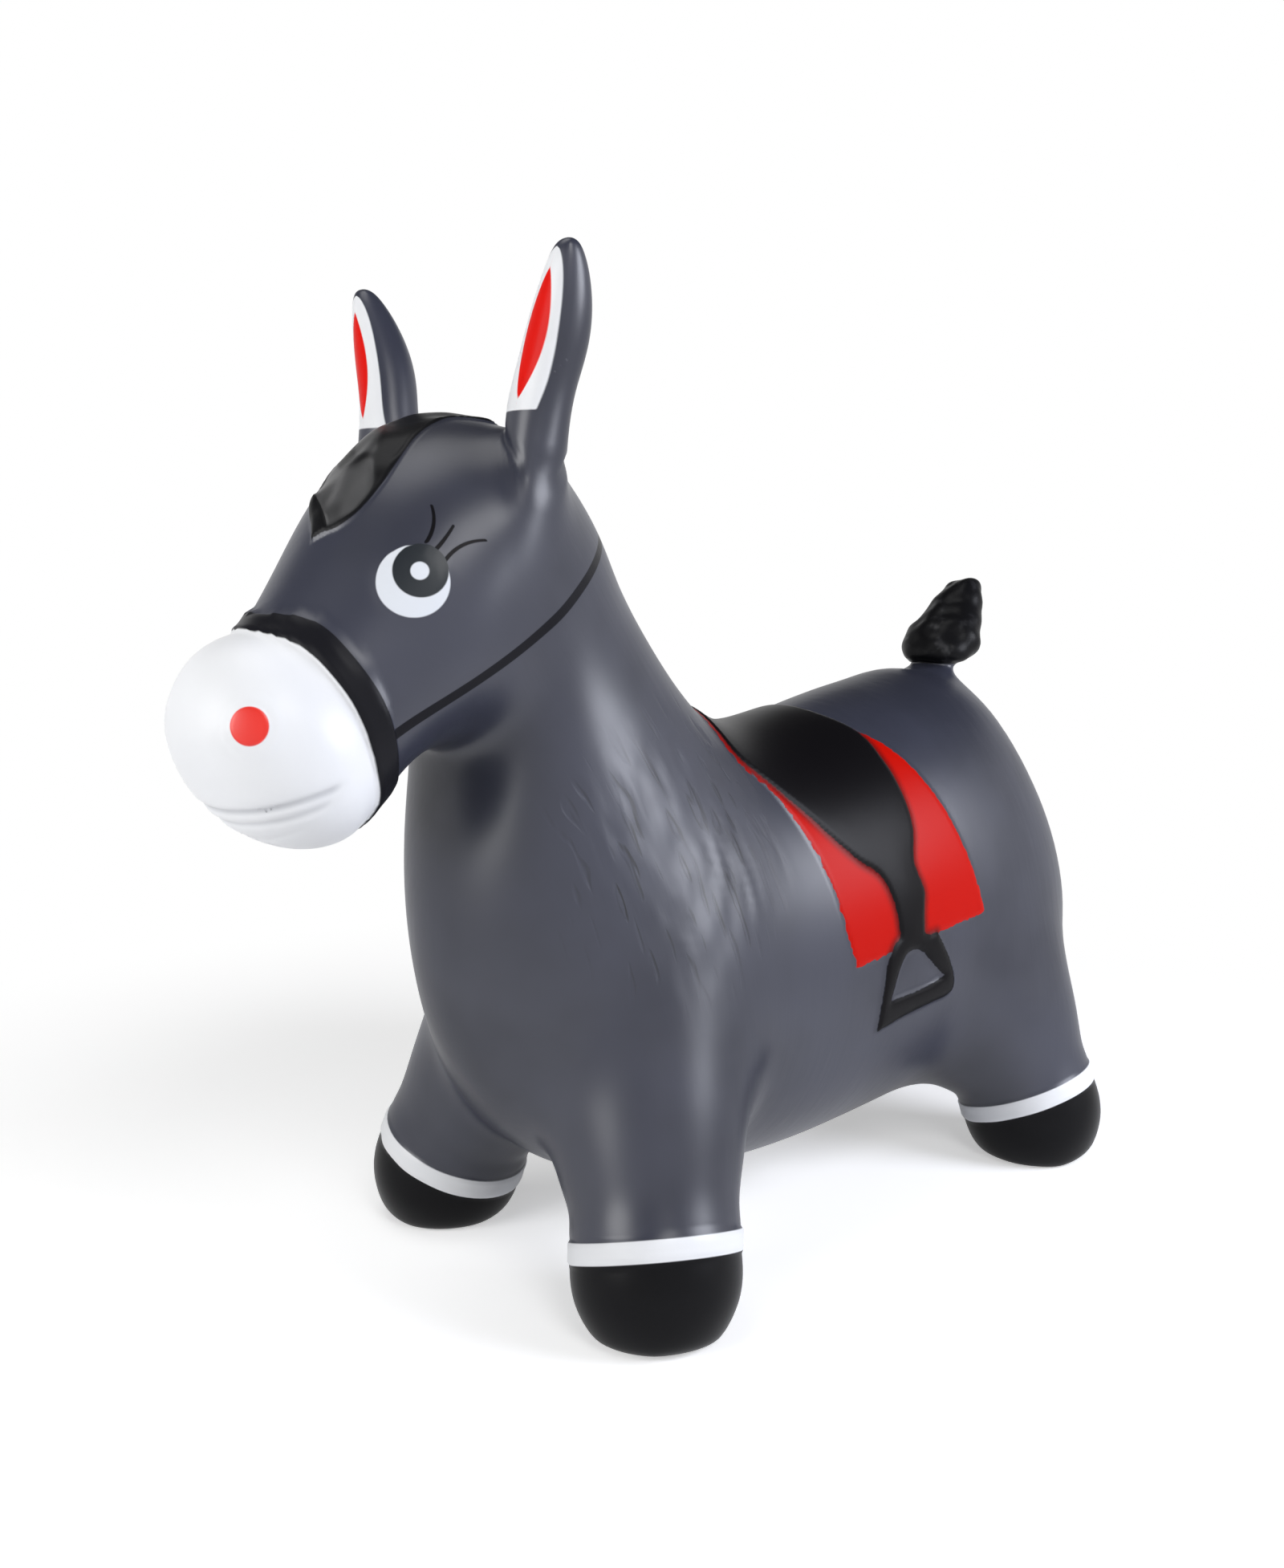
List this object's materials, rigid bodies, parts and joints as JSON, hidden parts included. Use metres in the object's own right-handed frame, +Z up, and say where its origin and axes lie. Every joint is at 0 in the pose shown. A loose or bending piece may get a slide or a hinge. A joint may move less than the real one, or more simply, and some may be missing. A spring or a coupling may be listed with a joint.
{
  "type": "bouncy ride on animal",
  "caption": "Inflated bouncing donkey for a child to sit on, with painted saddle, stirrups, bridle band and hooves, upright ears for handles, and an air valve under the belly.",
  "frame": {"origin": "on the floor under the middle of the animal's bounding box", "axes": "-Y is the way the animal faces, +X is its own left, +Z is up"},
  "size_m": [0.2896, 0.625, 0.5506],
  "materials": {
    "grey_vinyl": "satin soft vinyl",
    "white_paint": "satin paint on soft vinyl",
    "black_paint": "satin paint on soft vinyl",
    "red_paint": "satin paint on soft vinyl",
    "valve_rubber": "matt",
    "plug_plastic": "gloss"
  },
  "bodies": {
    "feet": {"hoof_front_left": "black_paint", "hoof_front_right": "black_paint", "hoof_hind_left": "black_paint", "hoof_hind_right": "black_paint", "hoof_band_front_left": "white_paint", "hoof_band_front_right": "white_paint", "hoof_band_hind_left": "white_paint", "hoof_band_hind_right": "white_paint", "valve_seat": "valve_rubber"},
    "trunk": {"body": "grey_vinyl", "head": "grey_vinyl", "muzzle": "white_paint", "noseband": "black_paint", "ear_left": "grey_vinyl", "ear_right": "grey_vinyl", "ear_lining_left": "white_paint", "ear_lining_right": "white_paint", "eye_left": "white_paint", "eye_right": "white_paint", "nostril_left": "red_paint", "nostril_right": "red_paint", "forelock": "black_paint", "saddle": "black_paint", "saddle_cloth": "red_paint", "tail_stub": "grey_vinyl", "tail_tuft": "black_paint", "leg_front_left": "grey_vinyl", "leg_front_right": "grey_vinyl", "leg_hind_left": "grey_vinyl", "leg_hind_right": "grey_vinyl"},
    "plug": {"valve_plug": "plug_plastic"}
  },
  "joints": [
    {"name": "bounce", "type": "slide", "parent": "feet", "child": "trunk", "axis": [0, 0, 1], "range_m": [-0.025, 0], "stiffness_N_per_m": 6000, "springref_m": 0.004, "deforming": ["body", "leg_front_left", "leg_front_right", "leg_hind_left", "leg_hind_right"]},
    {"name": "plug_pull", "type": "slide", "parent": "feet", "child": "plug", "axis": [0, 0, -1], "range_m": [0, 0.02]}
  ]
}
